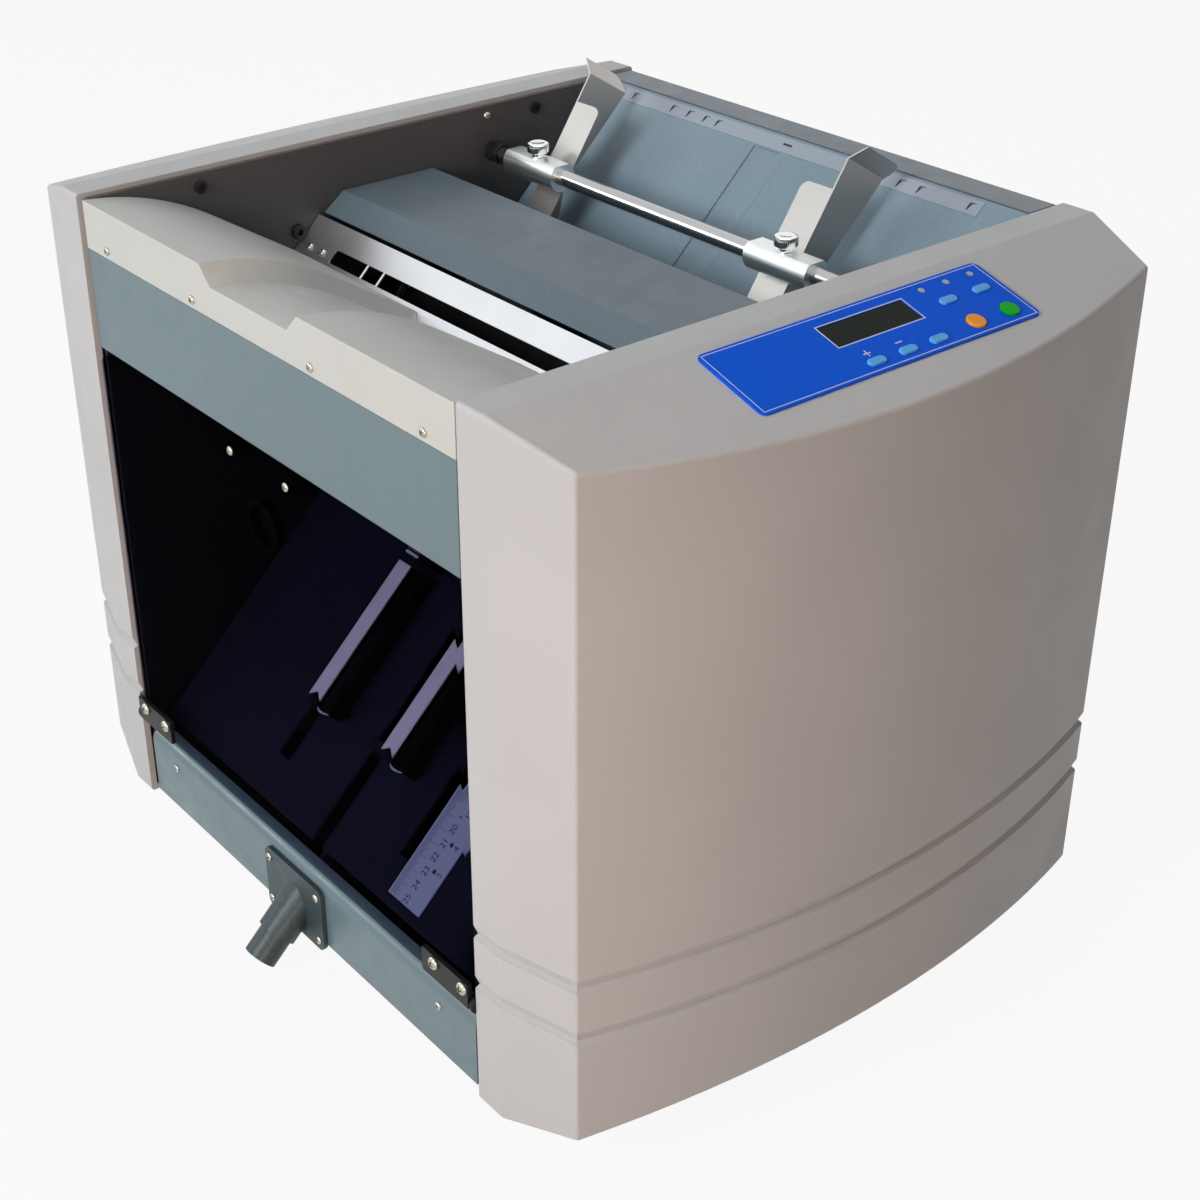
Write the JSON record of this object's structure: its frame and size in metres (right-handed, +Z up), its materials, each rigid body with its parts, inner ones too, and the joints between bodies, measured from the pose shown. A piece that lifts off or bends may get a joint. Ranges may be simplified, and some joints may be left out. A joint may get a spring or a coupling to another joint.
{
  "type": "paper folding machine",
  "caption": "Boxy desktop paper folding machine with a sloping feed deck, sliding side guides, hood, domed delivery cover, smoked drop-down window, key panel and crank socket.",
  "frame": {"origin": "centre of the machine's footprint, on the floor under the feet", "axes": "+X across the machine to the control panel side, +Y to the rear, +Z up"},
  "size_m": [0.596, 0.4774, 0.4864],
  "materials": {
    "cover_plastic": "fine texture",
    "cream_plastic": "satin",
    "panel_paint": "satin",
    "deck_paint": "satin",
    "frame_paint": "satin",
    "hammer_paint": "hammertone",
    "smoked_plastic": "polished",
    "black_plastic": "satin",
    "black_steel": "satin",
    "rubber_black": "matt",
    "steel": "brushed",
    "bright_steel": "polished",
    "clamp_aluminium": "satin",
    "ruler_plate": "printed",
    "overlay_blue": "printed film",
    "display_dark": "polished",
    "lamp_plastic": "polished",
    "key_blue": "satin",
    "key_orange": "satin",
    "key_green": "satin",
    "board_green": "satin",
    "mark_film": "printed film"
  },
  "bodies": {
    "frame": {"base_pan": "panel_paint", "side_frame_left": "frame_paint", "side_frame_right": "frame_paint", "side_cover_left": "cover_plastic", "side_cover_right": "cover_plastic", "front_base_panel": "panel_paint", "upper_front_panel": "panel_paint", "delivery_cover": "cream_plastic", "crank_bracket": "hammer_paint", "rear_panel": "panel_paint", "rubber_feet": "rubber_black", "tie_bars": "frame_paint", "hood": "deck_paint", "exit_plate": "steel", "feed_plate": "deck_paint", "mark_strip": "mark_film", "stop_plate": "deck_paint", "ruler": "ruler_plate", "guide_rod": "bright_steel", "rod_bushes": "black_steel", "door_catch": "black_plastic", "control_overlay": "overlay_blue", "display_window": "display_dark", "indicator_lamps": "lamp_plastic", "control_board": "board_green", "roller_bearings": "steel", "drive_motor": "black_steel", "knife_guides": "black_plastic", "stapler_heads": "black_steel", "power_inlet": "black_plastic", "panel_screws": "bright_steel", "frame_screws": "black_steel"},
    "window": {"window_door": "smoked_plastic", "finger_ring": "black_plastic", "window_hinges": "black_plastic", "window_screws": "bright_steel"},
    "guide_left": {"guide_clamp_left": "clamp_aluminium", "side_guide_left": "steel"},
    "guide_right": {"guide_clamp_right": "clamp_aluminium", "side_guide_right": "steel"},
    "knob_left": {"clamp_knob_left": "steel"},
    "knob_right": {"clamp_knob_right": "steel"},
    "crank_screw": {"lead_screw": "steel"},
    "stop": {"stop_carriage": "black_steel", "stop_brackets": "black_steel", "stop_strips": "bright_steel"},
    "roller_front": {"fold_roller_front": "rubber_black", "roller_gear_front": "black_plastic"},
    "roller_rear": {"fold_roller_rear": "rubber_black", "roller_gear_rear": "black_plastic"},
    "pinion": {"drive_pinion": "steel"},
    "knife": {"fold_knife": "steel"},
    "rocker": {"switch_rocker": "black_plastic"},
    "key_plus_body": {"key_plus": "key_blue"},
    "key_minus_body": {"key_minus": "key_blue"},
    "key_clear_body": {"key_clear": "key_blue"},
    "key_set_body": {"key_set": "key_blue"},
    "key_enter_body": {"key_enter": "key_blue"},
    "key_manual_body": {"key_manual": "key_orange"},
    "key_auto_body": {"key_auto": "key_green"}
  },
  "joints": [
    {"name": "window_hinge", "type": "hinge", "parent": "frame", "child": "window", "pos_m": [0, -0.1988, 0.0881], "axis": [1, 0, 0], "range_deg": [0, 90]},
    {"name": "guide_left_slide", "type": "slide", "parent": "frame", "child": "guide_left", "axis": [1, 0, 0], "range_m": [-0.01, 0.08]},
    {"name": "guide_right_slide", "type": "slide", "parent": "frame", "child": "guide_right", "axis": [1, 0, 0], "range_m": [-0.032, 0.05]},
    {"name": "knob_left_turn", "type": "hinge", "parent": "guide_left", "child": "knob_left", "pos_m": [-0.14, 0.10972, 0.42401], "axis": [0, 0, 1], "range_deg": [0, 540]},
    {"name": "knob_right_turn", "type": "hinge", "parent": "guide_right", "child": "knob_right", "pos_m": [0.097, 0.10972, 0.42401], "axis": [0, 0, 1], "range_deg": [0, 540]},
    {"name": "crank_turn", "type": "hinge", "parent": "frame", "child": "crank_screw", "pos_m": [0, -0.20704, 0.03513], "axis": [0, 0.7193, 0.6947], "range_deg": [-1368, 3132]},
    {"name": "stop_slide", "type": "slide", "parent": "frame", "child": "stop", "axis": [0, 0.7193, 0.6947], "range_m": [-0.038, 0.087]},
    {"name": "roller_front_spin", "type": "hinge", "parent": "frame", "child": "roller_front", "pos_m": [0, 0.00616, 0.30913], "axis": [1, 0, 0], "continuous": true},
    {"name": "roller_rear_spin", "type": "hinge", "parent": "frame", "child": "roller_rear", "pos_m": [0, 0.03537, 0.33733], "axis": [1, 0, 0], "continuous": true},
    {"name": "pinion_spin", "type": "hinge", "parent": "frame", "child": "pinion", "pos_m": [0, 0.02873, 0.28577], "axis": [1, 0, 0], "continuous": true},
    {"name": "knife_slide", "type": "slide", "parent": "frame", "child": "knife", "axis": [0, -0.6947, 0.7193], "range_m": [0, 0.028]},
    {"name": "key_plus_press", "type": "slide", "parent": "frame", "child": "key_plus_body", "axis": [-0.2807, 0, -0.9598], "range_m": [0, 0.0009], "stiffness_N_per_m": 400, "springref_m": -0.001},
    {"name": "key_minus_press", "type": "slide", "parent": "frame", "child": "key_minus_body", "axis": [-0.2807, 0, -0.9598], "range_m": [0, 0.0009], "stiffness_N_per_m": 400, "springref_m": -0.001},
    {"name": "key_clear_press", "type": "slide", "parent": "frame", "child": "key_clear_body", "axis": [-0.2807, 0, -0.9598], "range_m": [0, 0.0009], "stiffness_N_per_m": 400, "springref_m": -0.001},
    {"name": "key_set_press", "type": "slide", "parent": "frame", "child": "key_set_body", "axis": [-0.2807, 0, -0.9598], "range_m": [0, 0.0009], "stiffness_N_per_m": 400, "springref_m": -0.001},
    {"name": "key_enter_press", "type": "slide", "parent": "frame", "child": "key_enter_body", "axis": [-0.2807, 0, -0.9598], "range_m": [0, 0.0009], "stiffness_N_per_m": 400, "springref_m": -0.001},
    {"name": "key_manual_press", "type": "slide", "parent": "frame", "child": "key_manual_body", "axis": [-0.2807, 0, -0.9598], "range_m": [0, 0.0009], "stiffness_N_per_m": 400, "springref_m": -0.001},
    {"name": "key_auto_press", "type": "slide", "parent": "frame", "child": "key_auto_body", "axis": [-0.2807, 0, -0.9598], "range_m": [0, 0.0009], "stiffness_N_per_m": 400, "springref_m": -0.001},
    {"name": "rocker_tilt", "type": "hinge", "parent": "frame", "child": "rocker", "pos_m": [0.138, 0.2327, 0.08], "axis": [-1, 0, 0], "range_deg": [0, 12]}
  ],
  "couplings": [
    {"joint": "crank_turn", "follows": "stop_slide", "rad_per_m": 628.32},
    {"joint": "roller_rear_spin", "follows": "roller_front_spin", "ratio": -1},
    {"joint": "pinion_spin", "follows": "roller_front_spin", "ratio": -1.6667}
  ]
}
